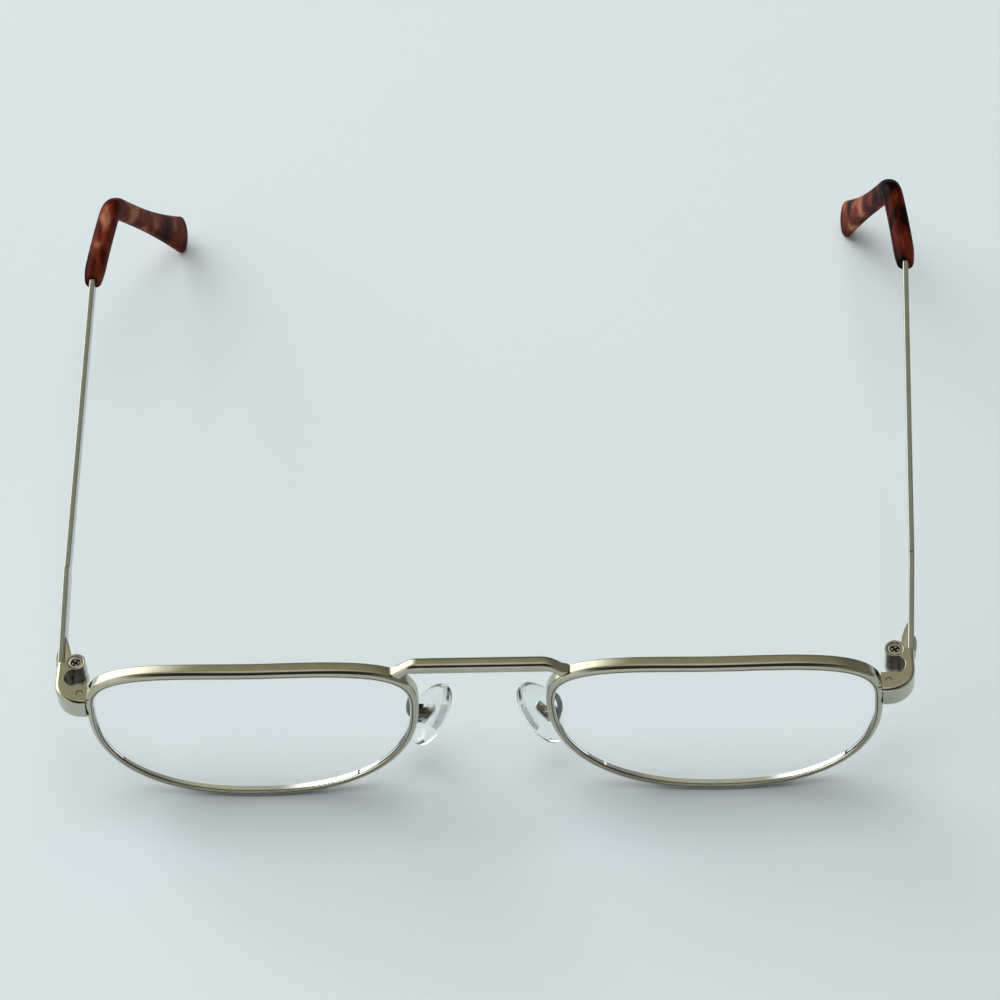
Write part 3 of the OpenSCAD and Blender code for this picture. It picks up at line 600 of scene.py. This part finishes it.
def makeTip(part, side):
    # the centre line runs straight, round the ear's arc and straight on, while it drifts inwards; the section
    # is a superellipse that widens to a paddle and closes in a quarter circle
    k = tip
    arc = k["earR"] * math.radians(k["bend"])
    total = k["straight"] + arc + k["drop"]
    e = np.linspace(0, math.pi / 2, k["endRows"] + 1)
    u = np.concatenate([k["lip"] * (1 - np.cos(e[:-1])),
                        np.linspace(k["lip"], total - k["round"], k["rows"])[:-1],
                        total - k["round"] * (1 - np.sin(e))])
    a = np.radians(k["bend"]) * np.clip((u - k["straight"]) / arc, 0, 1)
    after = np.clip(u - k["straight"] - arc, 0, None)
    cx = -k["inward"] * (u / total) ** k["inwardCurve"]
    cy = np.minimum(u, k["straight"]) + k["earR"] * np.sin(a) + after * np.cos(a)
    cz = -k["earR"] * (1 - np.cos(a)) - after * np.sin(a)
    wide = np.clip(u / total - k["paddleFrom"], 0, None) / (1 - k["paddleFrom"])
    thin = np.clip(u / total - k["thinFrom"], 0, None) / (1 - k["thinFrom"])
    halfH = k["height"] / 2 + (k["paddle"] - k["height"]) / 2 * wide * wide
    halfT = k["thick"] / 2 + (k["endThick"] - k["thick"]) / 2 * thin * thin * (3 - 2 * thin)
    r = quarterArc(np.clip(u - (total - k["round"]), 0, None) / k["round"], k["roundLeast"])
    lip = 1 - quarterArc(np.clip(1 - u / k["lip"], 0, 1))
    mouth = (1 - k["drawnIn"] * np.clip(1 - u / k["mouth"], 0, 1) ** 2) * (1 - k["lipIn"] * lip) * k["fit"]
    t = around(k["around"])
    px = (halfT * mouth * r ** k["roundFlat"])[:, None] * bulge(np.cos(t), k["square"])
    pz = (halfH * mouth * r)[:, None] * bulge(np.sin(t), k["square"])
    grid = np.stack([cx[:, None] + px, cy[:, None] + pz * np.sin(a)[:, None],
                     cz[:, None] + pz * np.cos(a)[:, None]], -1)
    points, faces = capped(fromBar(grid + np.array([0, temples["barEnd"] - temples["shoulder"], 0])))
    addPiece(part, "_plastic", onTable(points, side), faces, tortoise, smooth=60)


for name, side in sides.items():
    makeTemple(name + "_temple", side)
    makeTip(name + "_tip", side)
print("temples and tips made")


# Nose pads: a drop, fuller below, and the wire arm that carries its box

pad = {"height": 13, "width": 7.4, "thick": 2.5, "widthPower": 0.85, "thickPower": 0.7, "fuller": 0.12,
       "square": 2.2, "pole": 0.001, "rings": 44, "around": 56}


def makePad(part, side):
    # v runs along the pad and r is the square root of 1 - v squared; width and thickness go with powers of r
    v = np.sin(np.linspace(-math.pi / 2, math.pi / 2, pad["rings"]))
    r = quarterArc(v, pad["pole"])
    a = around(pad["around"])
    halfX = pad["thick"] / 2 * r ** pad["thickPower"]
    halfY = pad["width"] / 2 * r ** pad["widthPower"] * (1 - pad["fuller"] * v)
    x = halfX[:, None] * np.cos(a)
    y = halfY[:, None] * bulge(np.sin(a), pad["square"])
    z = np.repeat((v * pad["height"] / 2)[:, None], len(a), 1)
    points, faces = capped(fromPad(np.stack([x, y, z], -1)))
    addPiece(part, "_soft", onTable(points, side), faces, padSilicone, smooth=60)


arm = {"x": 10.95, "z": 16.6, "gap": 0.02, "rise": 2.6, "lead": 3.6, "tail": 2.4, "wire": 0.9, "end": 3.49,
       "endZ": 0.2, "guide": (0.2, 0.3, 1), "steps": 60, "around": 20}


def makeArm(part, side):
    # a round wire along the cubic a(1-t)^3 + 3b t(1-t)^2 + 3c t^2(1-t) + d t^3, square to rim and box
    inner = rim["ball"] - rim["depth"] - arm["gap"]
    ball = np.array([rimX, rim["ball"], rim["waist"] + ballZ])
    y = rim["ball"] - math.sqrt(inner ** 2 - (arm["x"] - ball[0]) ** 2 - (arm["z"] - ball[2]) ** 2)
    a = np.array([arm["x"], y, arm["z"]])
    normal = (ball - a) / np.linalg.norm(ball - a)
    d = fromPad(np.array([arm["end"], 0, arm["endZ"]]))
    way = fromPad(np.array([-1.0, 0, 0])) - fromPad(np.array([0.0, 0, 0]))
    b, c = a + arm["lead"] * normal + np.array([0, 0, arm["rise"]]), d - arm["tail"] * way
    t = np.linspace(0, 1, arm["steps"])[:, None]
    path = a * (1 - t) ** 3 + 3 * b * t * (1 - t) ** 2 + 3 * c * t * t * (1 - t) + d * t ** 3
    run = np.gradient(path, axis=0)
    run[0], run[-1] = normal, way
    run = run / np.linalg.norm(run, axis=1, keepdims=True)
    s = np.cross(run, np.array(arm["guide"]))
    s = s / np.linalg.norm(s, axis=1, keepdims=True)
    n = np.cross(s, run)
    k = around(arm["around"])[:, None]
    grid = path[:, None] + arm["wire"] / 2 * (s[:, None] * np.cos(k) + n[:, None] * np.sin(k))
    points, faces = capped(grid)
    addPiece(part, "_wire", onTable(points, side), faces, shadedPadMetal, smooth=50)


for name, side in sides.items():
    makePad(name + "_nose_pad", side)
    makeArm(name + "_pad_arm", side)
print("nose pads made")


# Fittings: end pieces, hinges and screws keep their solids, with their edges broken

fitting = {"corner": 0.6, "hinge": 0.12, "box": 0.08, "screw": 0.05, "topZ": 2.05, "seam": 0.045,
           "seamTop": 0.004}
# marks in the hinge frame, seen along the hinge screw, and how near a point has to lie to be on one
endPiece = {"bend": (-1.4, -3.8), "bendR": 4.4, "notch": (-0.1, -3.0), "notchR": 1.6, "barrelR": 2.1,
            "holeR": 1.2, "holeZ": 1.9, "outerX": 2.9, "frontY": -8.1, "aheadY": -0.2,
            "wallX": 1.6, "wallY": -0.9, "nearTop": 0.03, "nearBend": 0.1, "nearBarrel": 0.15,
            "nearHole": 0.06, "nearWall": 0.05, "innerShare": 0.25, "holeShare": 0.3}


def reachFrom(q, middle=(0, 0)):  # distance from an upright line in the hinge frame
    return np.hypot(*(q[:, :2] - middle).T)


def endShare(side):  # wide on the outer corner, narrow round the notch, the barrel and the screw's hole
    k = endPiece

    def share(points):
        q = toHinge(points, side)
        x, y, z = q.T
        level = np.abs(np.abs(z) - fitting["topZ"]) < k["nearTop"]
        outer = (reachFrom(q, k["bend"]) > k["bendR"] - k["nearBend"]) & (y < k["aheadY"])
        outer &= (x > k["outerX"]) | (y < k["frontY"]) | ((x > k["bend"][0]) & (y < k["bend"][1]))
        inner = reachFrom(q, k["notch"]) < k["notchR"] + k["nearBend"]
        inner |= np.abs(reachFrom(q) - k["barrelR"]) < k["nearBarrel"]
        hole = (np.abs(reachFrom(q) - k["holeR"]) < k["nearHole"]) & (z > k["holeZ"])
        return np.select([level & outer, level & inner, hole], [1, k["innerShare"], k["holeShare"]], 0)
    return share


def notchWall(side):  # the shaded wall between the arm and the barrel
    k = endPiece

    def inside(points):
        q = toHinge(points, side)
        x, y, z = q.T
        wall = reachFrom(q, k["notch"]) < k["notchR"] + k["nearWall"]
        front = (reachFrom(q) < k["barrelR"] + k["nearWall"]) & (y < k["wallY"]) & (x < k["wallX"])
        return (wall | front) & (np.abs(z) < fitting["topZ"] - k["nearWall"])
    return inside


def closeSeam(points, side):  # the block widens by the seam's width, and ends level with the end piece
    q = toHinge(points, side)
    middle = (q.min(0) + q.max(0)) / 2
    grown = q + np.sign(q - middle) * np.array([fitting["seam"], fitting["seam"], 0])
    grown[:, 2] = np.minimum(grown[:, 2], fitting["topZ"] + fitting["seamTop"])
    return onTable(fromHinge(grown), side)


hingeScrew = {"bottom": -2.2, "shank": 0.7, "shankTip": 0.9, "tipLength": 0.1, "under": 1.35, "head": 1.15,
              "top": 1.95, "round": 0.12, "roundMiddle": (0.04, 0.03), "dish": 0.78, "dishRound": 0.03,
              "dishSlope": 0.08, "floor": 1.62, "floorR": 0.1, "around": 64,
              "slotHalf": 0.17, "lobe": 0.36, "lobeTurn": 30, "lobeSteps": 7, "lobeSink": 0.05,
              "lobeRise": 0.12, "darkAt": 0.02, "darkHalf": 0.08, "darkPast": 0.01}


def makeHingeScrew(part, side):
    # a profile turned about the axis: shank, head with a round edge and a dish with a level floor. On the
    # floor stand four quarter discs, and the cross between them is the slot.
    k = hingeScrew
    head, top, dish, floor = k["head"], k["top"], k["dish"], k["floor"]
    profile = np.array([(k["shank"] * k["shankTip"], k["bottom"]), (k["shank"], k["bottom"] + k["tipLength"]),
                        (k["shank"], k["under"]), (head, k["under"]), (head, top - k["round"]),
                        (head - k["roundMiddle"][0], top - k["roundMiddle"][1]), (head - k["round"], top),
                        (dish + k["dishRound"], top), (dish, top - k["dishRound"]),
                        (dish - k["dishSlope"], floor), (k["floorR"], floor)])
    a = around(k["around"])
    r, z = profile[:, 0, None], profile[:, 1, None]
    parts = [capped(np.stack([r * np.cos(a), r * np.sin(a), np.repeat(z, len(a), 1)], -1))]
    b = np.linspace(0, math.pi / 2, k["lobeSteps"])
    arc = k["slotHalf"] + k["lobe"] * np.stack([np.cos(b), np.sin(b)], -1)
    quarter = np.concatenate([[(k["slotHalf"], k["slotHalf"])], arc])
    quarter = np.concatenate([quarter, np.zeros((len(quarter), 1))], 1)
    levels = floor - k["lobeSink"], floor + k["lobeRise"]
    for turn in range(4):
        disc = turned(quarter, "z", 90 * turn + k["lobeTurn"])
        parts.append(capped(np.stack([disc + [0, 0, level] for level in levels])))
    points, faces = together(parts)
    piece = addPiece(part, "_turned", onTable(fromHinge(points), side), faces, screwSteel,
                     smooth=35)
    q = toHinge(faceCentres(piece.data), side)
    # the slot's floor gets painted shade, near black
    slot = (reachFrom(q) < dish + k["darkPast"]) & (np.abs(q[:, 2] - floor - k["darkAt"]) < k["darkHalf"])
    setSecond(piece.data, paintedSlotShade, slot)


insert = {"plateWidth": 1.7, "plateLength": 4.4, "plateRound": 0.8, "roundSteps": 6, "plateHalf": 0.22,
          "plateTrim": 0.05, "drawnIn": 0.95, "eye": 0.82, "eyeHalf": 0.6, "eyeTrim": 0.04, "eyeIn": 0.03,
          "foot": 0.1, "pinX": 2.15, "bore": 0.43}


def makeInsert(part, side):
    # the metal core of a pad: a thin plate with round ends, and an eye with a bore that the pin passes
    # through. The eye's outline is, for each way from the pin, the nearer of side and foot, or the round end.
    k = insert
    w, h = k["plateWidth"] / 2, k["plateLength"] / 2
    plate = rounded([(-w, -h), (w, -h), (w, h), (-w, h)], [k["plateRound"]] * 4, k["roundSteps"])
    rows = [(-k["plateHalf"], k["drawnIn"]), (k["plateTrim"] - k["plateHalf"], 1),
            (k["plateHalf"] - k["plateTrim"], 1), (k["plateHalf"], k["drawnIn"])]
    flat = capped(np.stack([np.column_stack([np.full(len(plate), x), plate * size]) for x, size in rows]))
    leg = k["pinX"] - k["foot"]
    corner = math.atan2(k["eye"], -leg)  # way from the pin to the eye's square corner
    stretches = [(-math.pi / 2, math.pi / 2, 17), (math.pi / 2, corner, 6), (corner, 2 * math.pi - corner, 5),
                 (2 * math.pi - corner, 1.5 * math.pi, 6)]
    way = np.concatenate([np.linspace(*stretch)[:-1] for stretch in stretches])
    c, s = np.cos(way), np.sin(way)
    square = np.minimum(k["eye"] / np.maximum(np.abs(s), 1e-9), leg / np.maximum(-c, 1e-9))
    reach = np.where(c < 0, square, k["eye"])
    rings = [(-k["eyeHalf"], reach - k["eyeIn"]), (k["eyeTrim"] - k["eyeHalf"], reach),
             (k["eyeHalf"] - k["eyeTrim"], reach), (k["eyeHalf"], reach - k["eyeIn"]),
             (k["eyeHalf"], k["bore"]), (-k["eyeHalf"], k["bore"])]
    eye = looped(np.stack([np.stack([k["pinX"] + r * c, np.full(len(way), y), r * s], -1) for y, r in rings]))
    points, faces = together([flat, eye])
    piece = addPiece(part, "_core", onTable(fromPad(points), side), faces, coreMetal,
                     smooth=40)
    # the eye gets the darker metal, painted shade
    setSecond(piece.data, shadedPadMetal, np.arange(len(faces)) >= len(flat[1]))


for name, side in sides.items():
    finished(name + "_end_piece", fitting["corner"], frameMetal, share=endShare(side),
             inside=notchWall(side))
    finished(name + "_closing_block", 0, frameMetal,
             moved=lambda points: closeSeam(points, side))
    finished(name + "_temple_hinge", fitting["hinge"], frameMetal, inside=notchWall(side))
    finished(name + "_pad_box", fitting["box"], shadedPadMetal)
    makeInsert(name + "_pad_insert", side)
    makeHingeScrew(name + "_hinge_screw", side)
    finished(name + "_lock_screw", fitting["screw"], frameMetal, segments=2)
    finished(name + "_pad_screw", fitting["screw"], screwSteel, segments=2)
print("fittings finished")


# Table, light and camera

def makeTable():
    look = {"colour": (0.69, 0.775, 0.83), "far": (0.665, 0.75, 0.81), "half": 6.0, "cloudScale": 9.0,
            "cloudDetail": 2.0, "roughness": 0.95, "specular": 0.1}
    mesh = bpy.data.meshes.new("table")
    h = look["half"]
    mesh.from_pydata([(-h, -h, 0), (h, -h, 0), (h, h, 0), (-h, h, 0)], [], [(0, 1, 2, 3)])
    table = bpy.data.objects.new("table", mesh)
    bpy.context.scene.collection.objects.link(table)
    material, tree, place = newMaterial("pale table")
    cloud = noise(tree, place, look["cloudScale"], look["cloudDetail"])
    colour = mixColour(tree, cloud, look["colour"], look["far"])
    surface(tree, {"Base Color": colour, "Roughness": look["roughness"],
                   "Specular IOR Level": look["specular"]})
    mesh.materials.append(material)


lamps = {"ceiling": {"place": (-0.25, 0.0, 1.5), "size": 1.4, "power": 11.8, "colour": (1.0, 1.0, 1.0)},
         "window": {"place": (-0.9, 1.0, 0.55), "size": 0.8, "power": 4.0, "colour": (1.0, 0.99, 0.96)}}


def makeLamp(name, look):  # a square lamp that looks at the middle of the glasses
    data = bpy.data.lights.new(name, "AREA")
    data.shape, data.size, data.energy, data.color = "SQUARE", look["size"], look["power"], look["colour"]
    lamp = bpy.data.objects.new(name, data)
    lamp.location = look["place"]
    lamp.rotation_euler = (Vector((0, 0, 0)) - Vector(look["place"])).to_track_quat("-Z", "Y").to_euler()
    lamp.visible_glossy = False  # the metal mirrors the room alone
    bpy.context.scene.collection.objects.link(lamp)


def makeWorld():
    # a pale ceiling, a warm dim wall behind the glasses, a dark one behind the camera and a window at the
    # left. Each pair of numbers is where a step begins and where it ends, along the way that a ray looks.
    look = {"back": [(0.0, (0.07, 0.065, 0.055)), (0.3, (0.09, 0.085, 0.07)), (0.5, (0.18, 0.175, 0.13)),
                     (0.64, (0.34, 0.335, 0.24)), (0.86, (0.46, 0.45, 0.34)), (1.0, (0.9, 0.88, 0.8))],
            "front": [(0.0, (0.85, 0.85, 0.8)), (0.3, (0.85, 0.85, 0.8)), (0.42, (0.03, 0.03, 0.028)),
                      (0.96, (0.03, 0.03, 0.028)), (1.0, (0.9, 0.88, 0.8))],
            "backFrom": (-0.15, 0.15), "ceilingTo": (0.85, 0.6), "floorTo": (0.1, 0.3),
            "leftFrom": (-0.45, -0.75), "leftWall": (1.0, 1.0, 0.95),
            "rightFrom": (0.3, 0.7), "rightWall": (0.22, 0.21, 0.18),
            "window": (-0.72, 0.6, 0.36), "windowEdge": (0.80, 0.96), "glow": (2.7, 2.7, 2.55),
            "strength": 1.0}
    world = bpy.data.worlds.new("room")
    bpy.context.scene.world = world
    world.use_nodes = True
    tree = world.node_tree
    tree.nodes.clear()
    way = node(tree, "TexCoord")["Generated"]
    parts = node(tree, "SeparateXYZ", None, {0: way})
    back = node(tree, "ValToRGB", {"stops": look["back"]}, {"Fac": parts["Z"]})["Color"]
    front = node(tree, "ValToRGB", {"stops": look["front"]}, {"Fac": parts["Z"]})["Color"]

    def step(value, ends):
        inputs = {"Value": value, "From Min": ends[0], "From Max": ends[1]}
        return node(tree, "MapRange", {"interpolation_type": "SMOOTHSTEP"}, inputs)["Result"]

    room = mixColour(tree, step(parts["Y"], look["backFrom"]), front, back)
    low = step(parts["Z"], look["ceilingTo"])
    left = step(parts["X"], look["leftFrom"]) * low * step(parts["Z"], look["floorTo"])
    room = mixColour(tree, left, room, look["leftWall"])
    room = mixColour(tree, step(parts["X"], look["rightFrom"]) * low, room, look["rightWall"])
    near = node(tree, "VectorMath", {"operation": "DOT_PRODUCT"}, {0: way, 1: look["window"]})["Value"]
    room = mixColour(tree, step(near, look["windowEdge"]), room, look["glow"])
    light = node(tree, "Background", None, {"Color": room, "Strength": look["strength"]})["Background"]
    node(tree, "OutputWorld", None, {"Surface": light})


def makeCamera():
    # place in the drawing frame in mm; a negative yaw turns left, pitch looks down, roll tips the picture.
    # The focal length is in pixels of a picture that is 1000 wide.
    look = {"place": (40.47, -398.89, 461.64), "yaw": -4.987, "pitch": 44.581, "roll": -4.608,
            "focal": 3786.2, "wide": 1000, "sensor": 36, "near": 0.01, "far": 50}
    yaw, pitch, roll = (math.radians(look[k]) for k in ("yaw", "pitch", "roll"))
    ahead = Vector((math.sin(yaw) * math.cos(pitch), math.cos(yaw) * math.cos(pitch), -math.sin(pitch)))
    across = Vector((math.cos(yaw), -math.sin(yaw), 0))
    up = across.cross(ahead)
    right = across * math.cos(roll) + up * math.sin(roll)
    top = up * math.cos(roll) - across * math.sin(roll)
    data = bpy.data.cameras.new("camera")
    data.sensor_width, data.lens = look["sensor"], look["sensor"] * look["focal"] / look["wide"]
    data.clip_start, data.clip_end = look["near"], look["far"]
    camera = bpy.data.objects.new("camera", data)
    place = Vector(onTable(np.array(look["place"])).tolist())
    camera.matrix_world = Matrix(((right.x, top.x, -ahead.x, place.x), (right.y, top.y, -ahead.y, place.y),
                                  (right.z, top.z, -ahead.z, place.z), (0, 0, 0, 1)))
    bpy.context.scene.collection.objects.link(camera)
    bpy.context.scene.camera = camera


makeTable()
makeWorld()
for name, look in lamps.items():
    makeLamp(name, look)
makeCamera()
bpy.context.scene.view_settings.view_transform = "Standard"
print("table, light and camera ready")
